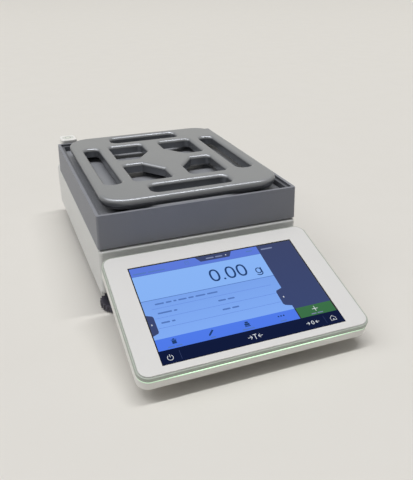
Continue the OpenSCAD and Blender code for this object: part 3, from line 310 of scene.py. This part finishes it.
# Die-cast pan with a baked satin coat full of metal flake: soft highlights, and upright walls darkened by
# painted shade
pan_coat_painted_shade = grained("pan_satin_coat_painted_wall_shade", "#94979d", "#8d9096",
                   grain=0.7, depth=0.006, rough=0.32, spread=0.04, darken=painted_wall_shade, Metallic=0.6)
# Sand-cast and milled alloy: dull, with a coarse skin
cast_alloy = grained("cast_aluminium_alloy", "#a9abad", "#97999c",
                     grain=1.8, depth=0.06, rough=0.5, spread=0.1, Metallic=0.9)
# Zinc-plated sheet and screws: bluish, with a cloudy gloss
zinc_steel = grained("zinc_plated_steel", "#b9bdc2", "#a3a8ae",
                     grain=3.0, depth=0.01, rough=0.32, spread=0.08, Metallic=1.0)
# Turned brass: warm, with fine tool marks
brass = grained("turned_brass", "#c8a75a", "#b28f45",
                grain=0.6, depth=0.01, rough=0.3, spread=0.06, Metallic=1.0)
# Enamelled copper wire of the coil: a red-brown gloss, broken up by the turns
copper = grained("enamelled_copper_wire", "#b5683a", "#8f4a26",
                 grain=0.6, depth=0.05, rough=0.34, spread=0.08, Metallic=0.9)
# Moulded black rubber of the pads, the collars and the seal: no gloss to speak of
rubber = grained("black_nitrile_rubber", "#1e1f20", "#151617",
                 grain=1.1, depth=0.05, rough=0.75, spread=0.1)
# Glass-filled nylon of the rear panel: dark grey with a dry satin
dark_nylon = grained("dark_filled_nylon", "#3d3f44", "#33353a",
                     grain=0.9, depth=0.04, rough=0.55, spread=0.08)
# The same nylon in the wheels, dyed: a purplish slate
wheel_nylon = grained("slate_filled_nylon", "#4d4b57", "#444250",
                      grain=0.9, depth=0.04, rough=0.5, spread=0.08)
# Black ABS of the power socket, the motor and other inner mouldings: a dull black
black_abs = grained("black_moulded_abs", "#191a1c", "#121315",
                    grain=0.9, depth=0.02, rough=0.45, spread=0.08)
# Solder mask over glass-fibre board: green and wet-looking over a faint weave
solder_mask = grained("green_solder_mask", "#2c5f40", "#244f35",
                      grain=0.9, depth=0.02, rough=0.25, spread=0.06)
# Pane of the display: glass printed black behind, so that only its gloss shows outside the lit area
pane_glass = grained("printed_display_glass", "#07080c", "#050609",
                     grain=6.0, depth=0.002, rough=0.08, spread=0.02, IOR=1.5)
# Level fluid: a pale yellow-green
fluid = grained("level_fluid", "#f4f7e2", "#eef3d6",
                grain=5.0, depth=0.002, rough=0.1, spread=0.03)
# Cast acrylic of the vial: a glossy face, near-white and mostly opaque, a painted reflection where the clear
# vial throws back white light
acrylic = grained("cast_acrylic_painted_white", "#fafcf8", "#f4f8f1",
                  grain=5.0, depth=0.002, rough=0.06, spread=0.02, IOR=1.49, Alpha=0.75)
# Gold flash on the contacts: warm and bright
gold = grained("gold_flashed_contact", "#d9b25a", "#c79d45",
               grain=1.0, depth=0.005, rough=0.25, spread=0.05, Metallic=1.0)
# Tin plate of the sockets' shells: bright, a little cloudy
network_shell = socket_shell("tin_plated_network_shell", mouth=0.8)
usb_shell = socket_shell("tin_plated_usb_shell", mouth=2.4)
# Opal acrylic of the light strip: milky, with an even green light that pales towards the corners
strip_glow = lit_strip("lit_opal_acrylic")

FINISHES = {
    powder_coat: ["housing_cover"],
    white_abs: ["level_housing", "terminal_lower_shell"],
    panel_film: ["terminal_front_panel"],
    shell_abs_painted_glow: ["terminal_upper_shell"],
    black_coat: ["base_plate"],
    slate_abs: ["draft_ring"],
    tray_abs: ["drip_tray"],
    pan_coat_painted_shade: ["weighing_pan"],
    cast_alloy: ["cell_frame", "lever", "load_receptor", "pan_carrier", "weight_cradle"],
    zinc_steel: ["cover_screws", "left_levelling_stud", "right_levelling_stud", "hook_cover",
                 "hook_cover_screw", "terminal_bracket", "bracket_screws", "hinge_pins", "hinge_washers",
                 "fulcrum_pin", "magnet", "upper_guide", "lower_guide", "coupling_strip",
                 "weigh_below_hook", "carrier_tips", "calibration_weight", "lifter_screw",
                 "terminal_screws"],
    network_shell: ["network_socket"],
    usb_shell: ["usb_ports", "usb_device_socket"],
    brass: ["board_standoffs", "foot_bushes"],
    copper: ["coil"],
    rubber: ["rear_feet", "left_foot_pad", "right_foot_pad", "dust_seal", "pin_collars"],
    dark_nylon: ["rear_panel"],
    wheel_nylon: ["left_levelling_wheel", "right_levelling_wheel"],
    black_abs: ["power_socket", "position_sensor", "lifter_motor", "display_module"],
    solder_mask: ["interface_board", "main_board", "light_board", "terminal_board"],
    pane_glass: ["display_window"],
    fluid: ["level_fluid"],
    acrylic: ["level_vial"],
    strip_glow: ["terminal_light_guide"],
}
for material, names in FINISHES.items():
    for name in names:
        nodes[name].data.materials[0] = material

# Small broken edges on what a hand or an eye meets, so that each edge catches a thread of light: their
# widths in mm, and the angle from which an edge counts as one
BROKEN_EDGES = {
    "draft_ring": 0.5, "drip_tray": 0.4, "terminal_upper_shell": 0.25, "terminal_front_panel": 0.25,
    "terminal_lower_shell": 0.3, "terminal_bracket": 0.3, "base_plate": 0.5, "rear_panel": 0.3,
    "left_levelling_wheel": 0.3, "right_levelling_wheel": 0.3, "left_foot_pad": 0.4, "right_foot_pad": 0.4,
    "rear_feet": 0.4, "hook_cover": 0.3, "housing_cover": 0.4, "cover_screws": 0.25, "bracket_screws": 0.25,
    "terminal_screws": 0.25, "hook_cover_screw": 0.25,
}
EDGE_ANGLE = math.radians(50)
for name, width in BROKEN_EDGES.items():
    weld = nodes[name].modifiers.new("weld", "WELD")
    weld.merge_threshold = WELD * MM
    edge = nodes[name].modifiers.new("broken_edge", "BEVEL")
    edge.width = width * MM
    edge.segments = 2
    edge.limit_method = "ANGLE"
    edge.angle_limit = EDGE_ANGLE
    nodes[name].modifiers.new("even_shading", "WEIGHTED_NORMAL")


# Pieces

def piece(name, mesh, material, body):
    """Object from a mesh in the part's frame, riding on a body."""
    data = bpy.data.meshes.new(name)
    mesh.to_mesh(data)
    mesh.free()
    data.materials.append(material)
    made = bpy.data.objects.new(name, data)
    scene.collection.objects.link(made)
    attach(made, body)


def thicken(mesh, shift):
    """Carry all faces of a mesh on by a shift, with walls along their borders, which makes closed plates.
    Blender's own extrusion makes the same faces, but in another order on each run."""
    faces = mesh.faces[:]
    borders = [edge.verts[:] for edge in mesh.edges if len(edge.link_faces) == 1]
    carried = {vert: mesh.verts.new(vert.co + Vector(shift)) for vert in mesh.verts[:] if vert.link_faces}
    for face in faces:
        mesh.faces.new([carried[vert] for vert in face.verts])
    for a, b in borders:
        mesh.faces.new((a, b, carried[b], carried[a]))
    bmesh.ops.recalc_face_normals(mesh, faces=mesh.faces)


# Depth in mm of the pan's rim below its solid
SKIRT_DEPTH = 2.4


def pan_skirt():
    """Lower rim of the pan: the plan of its underside, slots and pin holes too, carried on downwards."""
    mesh = bmesh.new()
    mesh.from_mesh(nodes["weighing_pan"].data)
    bmesh.ops.remove_doubles(mesh, verts=mesh.verts, dist=WELD * MM)
    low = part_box("weighing_pan")[0][2]
    above = [face for face in mesh.faces if any(vert.co.z - low > WELD * MM for vert in face.verts)]
    bmesh.ops.delete(mesh, geom=above, context="FACES")
    thicken(mesh, (0, 0, -SKIRT_DEPTH * MM))
    return mesh


piece("pan_skirt", pan_skirt(), pan_coat_painted_shade, "pan")

# Eight spring contacts in the network socket, in mm. Their path gives how far inside the housing's back
# and how far over the socket's middle they run: they rise from the mouth inwards.
CONTACTS = 8
CONTACT_PITCH = 1.02
CONTACT_WIDTH = 0.5
CONTACT_THICK = 0.3
CONTACT_PATH = [(1.4, -3), (2.2, -2.9), (6.5, 1.2), (8, 1.6)]
CONTACT_CORNERS = [(-1, -1), (1, -1), (1, 1), (-1, 1)]


def contact(mesh, x):
    """Add one bent flat contact to a mesh, with its middle at that x."""
    rings = []
    for inside, over in CONTACT_PATH:
        ring = []
        for side, face in CONTACT_CORNERS:
            corner = Vector((x + side * CONTACT_WIDTH / 2, SOCKET_BACK - inside,
                             SOCKET_Z + over + face * CONTACT_THICK / 2))
            ring.append(mesh.verts.new(corner * MM))
        rings.append(ring)
    for a, b in zip(rings, rings[1:]):
        for i in range(len(CONTACT_CORNERS)):
            mesh.faces.new((a[i], a[i - 1], b[i - 1], b[i]))
    mesh.faces.new(rings[0])
    mesh.faces.new(rings[-1][::-1])
    bmesh.ops.recalc_face_normals(mesh, faces=mesh.faces)


contacts = bmesh.new()
for i in range(CONTACTS):
    contact(contacts, NETWORK_X + (i - (CONTACTS - 1) / 2) * CONTACT_PITCH)
piece("network_contacts", contacts, gold, "base")

# Steps round a ring on the level, and its clearance over the vial's top in mm
RING_STEPS = 40
RING_CLEAR = 0.005


def level_ring(inner, outer, slope, height):
    """Low ring round the level's axis: its radii below, how far its sides lean in, and its height, in mm."""
    mesh = bmesh.new()
    rings = []
    section = [(inner, RING_CLEAR), (outer, RING_CLEAR), (outer - slope, height), (inner + slope, height)]
    for radius, over in section:
        ring = []
        for k in range(RING_STEPS):
            turn = 2 * math.pi * k / RING_STEPS
            out = Vector((radius * math.cos(turn), radius * math.sin(turn), over))
            ring.append(mesh.verts.new((LEVEL_TOP + out) * MM))
        rings.append(ring)
    for a, b in zip(rings, rings[1:] + rings[:1]):
        for k in range(RING_STEPS):
            mesh.faces.new((a[k - 1], a[k], b[k], b[k - 1]))
    bmesh.ops.recalc_face_normals(mesh, faces=mesh.faces)
    return mesh


# Ring mark printed on the vial of the level, and the bubble's rim drawn on the vial's top inside that ring
level_mark = level_ring(inner=3.1, outer=3.55, slope=0.05, height=0.03)
piece("level_mark", level_mark, black_abs, "base")
level_bubble = level_ring(inner=1.7, outer=2.15, slope=0.1, height=0.04)
piece("level_bubble", level_bubble, fluid, "base")

# Shapes of the display's picture, in steps of its grid

# A mitred corner of a line is at most twice as long as the line is wide
MITRE = 0.5
# Gap between dashes, as a share of their height
DASH_GAP = 0.9
# Width of an arrow's lines, how far its shaft stops short of the tip, and how far its barbs reach back and
# out as shares of half its length
ARROW_LINE = 3.5
ARROW_SHORT = 2
BARB_BACK = 0.8
BARB_OUT = 0.93


def bar(x0, y0, x1, y1):
    """Rectangle."""
    return [[(x0, y0), (x1, y0), (x1, y1), (x0, y1)]]


def arc(x, y, rx, ry, first, last, steps=24, power=1.0):
    """Points along an oval, by degrees; a power under 1 squares it off."""
    points = []
    for i in range(steps + 1):
        turn = math.radians(first + (last - first) * i / steps)
        c = math.cos(turn)
        s = math.sin(turn)
        points.append((x + rx * math.copysign(abs(c) ** power, c),
                       y + ry * math.copysign(abs(s) ** power, s)))
    return points


def disc(x, y, r):
    """Round dot."""
    return [arc(x, y, r, r, 0, 345, 23)]


def line(points, width, closed=False):
    """Line of even width through the points, with mitred corners."""
    count = len(points)
    sides = []
    for i, point in enumerate(points):
        here = Vector(point)
        before = Vector(points[i - 1]) if closed or i else None
        after = Vector(points[(i + 1) % count]) if closed or i < count - 1 else None
        runs = [(b - a).normalized() for a, b in ((before, here), (here, after)) if a and b]
        along = sum(runs, Vector((0, 0))).normalized()
        across = Vector((-along.y, along.x))
        share = max(MITRE, across.dot(Vector((-runs[0].y, runs[0].x))))
        sides.append((here + across * width / share / 2, here - across * width / share / 2))
    steps = range(count if closed else count - 1)
    return [[sides[i][0], sides[(i + 1) % count][0], sides[(i + 1) % count][1], sides[i][1]] for i in steps]


def dashes(x, y, height, lengths):
    """Row of dashes with round ends, from x to the right."""
    shapes = []
    r = height / 2
    for length in lengths:
        end = x + length
        shapes.append(arc(end - r, y, r, r, -90, 90, 8) + arc(x + r, y, r, r, 90, 270, 8))
        x = end + height * DASH_GAP
    return shapes


def arrow(x, y, way, half=15):
    """Arrow of a key about its middle, with half its length: way is 1 to the right and -1 to the left."""
    tip = x + way * half
    barb = tip - way * BARB_BACK * half
    out = BARB_OUT * half
    shaft = line([(x - way * half, y), (tip - way * ARROW_SHORT, y)], ARROW_LINE)
    return shaft + line([(barb, y - out), (tip, y), (barb, y + out)], ARROW_LINE)


# Height in mm from one layer of the picture to the next, and thickness of the plates in it
LAYER = 0.03
PLATE = 0.012


def shown(name, shapes, lift, material):
    """Lit shapes on the pane as one piece of thin closed plates, whose tops lie at that lift."""
    mesh = bmesh.new()
    for shape in shapes:
        mesh.faces.new([mesh.verts.new(at_screen(u, v, lift - PLATE)) for u, v in shape])
    bmesh.ops.remove_doubles(mesh, verts=mesh.verts, dist=WELD * MM)
    thicken(mesh, TERMINAL_UP * PLATE * MM)
    piece(name, mesh, material, "terminal")


# Liquid crystal display behind glass: flat areas of even light, a little paler or deeper to the front,
# under the pane's faint gloss
header_blue = lit("lit_header_blue", "#5b79da", "#4f6fc8")
value_blue = lit("lit_value_blue", "#88b4f5", "#84b0f2")
list_blue = lit("lit_list_blue", "#7098e2", "#84b0f8")
icon_blue = lit("lit_icon_blue", "#5486f4", "#4c76e6")
slate_blue = lit("lit_slate_blue", "#39436a", "#384672")
key_navy = lit("lit_key_navy", "#06163e", "#041339")
button_green = lit("lit_button_green", "#447852", "#356b42")
ink_navy = lit("lit_ink_navy", "#1d3f73", "#1b3c6f")
ink_faint = lit("lit_faint_ink", "#5579bf", "#5276bb")
ink_white = lit("lit_white_ink", "#dfe4ea", "#dce1e8")
ink_grey = lit("lit_grey_ink", "#7c86a8", "#7983a5")

# Lines of the grid at which the fields of the picture meet
LEFT = 8
SIDE = 965
RIGHT = 1240
TOP = 12
VALUE_TOP = 92
LIST_TOP = 318
ICON_TOP = 635
KEY_TOP = 722
shown("display_border", bar(0, 0, SCREEN[0], SCREEN[1]), LAYER / 2, pane_glass)
shown("display_header", bar(LEFT, TOP, SIDE, VALUE_TOP), LAYER, header_blue)
shown("display_value_field", bar(LEFT, VALUE_TOP, SIDE, LIST_TOP), LAYER, value_blue)
shown("display_list_field", bar(LEFT, LIST_TOP, SIDE, ICON_TOP), LAYER, list_blue)
shown("display_icon_bar", bar(LEFT, ICON_TOP, SIDE, KEY_TOP), LAYER, icon_blue)
shown("display_side_field", bar(SIDE, TOP, RIGHT, ICON_TOP), LAYER, slate_blue)
shown("display_add_button", bar(SIDE + 8, ICON_TOP, RIGHT - 3, KEY_TOP), 2 * LAYER, button_green)
shown("display_key_bar", bar(3, KEY_TOP, SCREEN[0] - 3, SCREEN[1] - 4), LAYER, key_navy)

# Tabs that stand in from the back, from the left and from the side field
back_tab = [(485, TOP), (765, TOP), (735, 62), (515, 62)]
left_tab = [(LEFT, 435), (45, 450), (52, 462), (52, 580), (45, 592), (LEFT, 605)]
side_tab = [(SIDE + 1, 440), (SIDE - 45, 455), (SIDE - 53, 468),
            (SIDE - 53, 575), (SIDE - 45, 588), (SIDE + 1, 605)]
shown("display_tabs", [back_tab, left_tab, side_tab], 2 * LAYER, slate_blue)

# Reading of zero grams: three figures, the point, and the unit's bowl and hook
FIGURE_LINE = 14
UNIT_LINE = 8
reading = []
for x in (562, 680, 764):
    reading += line(arc(x, 211, 29, 50, 0, 350, 35, 0.85), FIGURE_LINE, closed=True)
reading += disc(623, 258, 8)
reading += line(arc(881, 245, 19, 24, 0, 350, 23), UNIT_LINE, closed=True)
reading += line([(903, 218), (903, 268)] + arc(880, 268, 23, 20, 15, 155, 12), UNIT_LINE)
shown("display_figures", reading, 2 * LAYER, ink_navy)

# Rules between the fields and between the rows of the list
field_rules = bar(LEFT, LIST_TOP - 2, SIDE, LIST_TOP + 3) + bar(LEFT, VALUE_TOP - 2, SIDE, VALUE_TOP + 1)
shown("display_rules", field_rules, 2 * LAYER, ink_faint)
ROW_INSET = 60
for y in (396, 476, 556):
    shown(f"display_row_rule_{y}", bar(ROW_INSET, y - 1, SIDE - ROW_INSET, y + 1), 2 * LAYER, header_blue)

# Entries, as rows of plain dashes: in the list, in the header and under the icons, and a sheet in the header
ENTRY = 13
CAPTION = 9
entries = dashes(90, 360, ENTRY, (62, 40, 22, 58, 38, 70, 76))
entries += dashes(86, 438, ENTRY, (96, 24)) + dashes(500, 438, ENTRY, (56, 50))
entries += dashes(86, 517, ENTRY, (58, 24)) + dashes(500, 517, ENTRY, (56, 50))
entries += dashes(24, 68, ENTRY, (92, 120)) + dashes(868, 47, ENTRY, (52,))
entries += dashes(70, 708, CAPTION, (44, 40)) + dashes(346, 708, CAPTION, (34,))
entries += dashes(560, 708, CAPTION, (86,)) + dashes(826, 708, CAPTION, (48,))
entries += line([(402, 32), (428, 32), (428, 62), (402, 62)], 4, closed=True) + bar(408, 40, 422, 44)
shown("display_entries", entries, 2 * LAYER, ink_faint)

# Icons: a weight, a pen with its tip, a printer and three dots
icons = bar(106, 664, 134, 690) + bar(102, 657, 138, 661) + bar(114, 650, 126, 657)
icons += line([(346, 688), (378, 654)], 12) + [[(340, 694), (349, 691), (343, 685)]]
icons += bar(590, 664, 624, 680) + bar(596, 650, 618, 662) + bar(588, 683, 626, 690)
for x in (832, 851, 870):
    icons += disc(x, 668, 6)
shown("display_icons", icons, 2 * LAYER, ink_navy)

# Signs of the keys for power, tare, zero and home, the plus on the green button, and the tabs' pointers
signs = line(arc(62, 781, 18, 18, -60, 240), 3.2) + bar(60.4, 757, 63.6, 778)
signs += arrow(583, 776, 1) + arrow(655, 776, -1)
signs += bar(606, 757, 632, 761.5) + bar(616.8, 761.5, 621.2, 796)
signs += arrow(994, 774, 1, 12) + arrow(1064, 774, -1, 12)
signs += line(arc(1029, 774, 8.5, 12.5, 0, 345, 23), 4, closed=True)
signs += line([(1160, 793), (1160, 773), (1179.5, 755), (1199, 773), (1199, 793)], 2.6, closed=True)
signs += bar(1177, 781, 1183, 791)
signs += bar(1080, 668, 1122, 672) + bar(1099, 649, 1103, 691)
signs += [[(22, 510), (22, 526), (31, 518)]]
signs += [[(946, 512), (946, 528), (936, 520)]]
signs += [[(716, 32), (716, 46), (706, 39)]]
shown("display_signs", signs, 3 * LAYER, ink_white)

# Dashes at the back of the side field, on the green button and on the back tab, and rules in the key bar
faint = dashes(986, 52, ENTRY, (92,)) + dashes(1056, 708, 8, (38, 42)) + dashes(560, 40, 12, (60, 56))
shown("display_faint_signs", faint, 3 * LAYER, ink_grey)
shown("display_key_rules", bar(127, 742, 129, 806) + bar(1120, 742, 1122, 806), 2 * LAYER, slate_blue)

# Camera at the photograph's angle, in metres and degrees
CAMERA_PLACE = Vector((-0.17106, -0.522204, 0.29569))
CAMERA_AIM = Vector((0.0014, -0.071914, 0.08206))
CAMERA_ROLL = -0.37
eye = bpy.data.cameras.new("camera")
eye.lens = 43.2
eye.sensor_width = 36
eye.shift_y = -0.044
camera = bpy.data.objects.new("camera", eye)
scene.collection.objects.link(camera)
camera.location = CAMERA_PLACE
look = (CAMERA_AIM - CAMERA_PLACE).to_track_quat("-Z", "Y").to_matrix()
camera.rotation_euler = (look @ Matrix.Rotation(math.radians(CAMERA_ROLL), 3, "Z")).to_euler()
scene.camera = camera

# Stage: a pale table top and soft light. The top reaches so many metres to each side, and lies so many mm
# below the feet.
FLOOR_REACH = 40
FLOOR_DROP = 0.2
floor_mesh = bmesh.new()
bmesh.ops.create_grid(floor_mesh, x_segments=1, y_segments=1, size=FLOOR_REACH)
floor_data = bpy.data.meshes.new("floor")
floor_mesh.to_mesh(floor_data)
floor_mesh.free()
floor = bpy.data.objects.new("floor", floor_data)
scene.collection.objects.link(floor)
floor.location.z = -FLOOR_DROP * MM
# Matt laminate of the table top: off-white, with hardly any pattern
table_top = grained("pale_table_top", "#dddad5", "#dbd8d2", grain=60, depth=0.01, rough=0.6, spread=0.05)
floor_data.materials.append(table_top)


def lamp(name, kind, place, **settings):
    """Lamp at that place, in metres, turned to the middle of the part's foot."""
    data = bpy.data.lights.new(name, kind)
    for setting, value in settings.items():
        setattr(data, setting, value)
    made = bpy.data.objects.new(name, data)
    scene.collection.objects.link(made)
    made.location = place
    made.rotation_euler = Vector(place).to_track_quat("Z", "Y").to_euler()


lamp("window_light", "SUN", (-0.62, 0.12, 0.78), angle=math.radians(40), energy=0.75)
lamp("ceiling_tube", "AREA", (0, -0.8, 20), shape="RECTANGLE", size=20, size_y=0.8, energy=2700)

# The room fills the shadows with a low even light, and shows behind the floor and in gloss and glass as a
# pale backdrop
world = bpy.data.worlds.new("room")
scene.world = world
world.use_nodes = True
room = world.node_tree
room.nodes.clear()
fill = add(room, "ShaderNodeBackground", {"Color": linear("#f2f2f2"), "Strength": 0.25})
backdrop = add(room, "ShaderNodeBackground", {"Color": linear("#dedbd1")})
ray = add(room, "ShaderNodeLightPath").outputs
mirrored = add(room, "ShaderNodeMath", {0: ray["Is Glossy Ray"], 1: ray["Is Transmission Ray"]},
               operation="MAXIMUM")
seen = add(room, "ShaderNodeMath", {0: ray["Is Camera Ray"], 1: mirrored.outputs["Value"]},
           operation="MAXIMUM")
either = add(room, "ShaderNodeMixShader", {0: seen.outputs["Value"], 1: fill.outputs["Background"],
                                           2: backdrop.outputs["Background"]})
add(room, "ShaderNodeOutputWorld", {"Surface": either.outputs["Shader"]})
scene.view_settings.view_transform = "Standard"
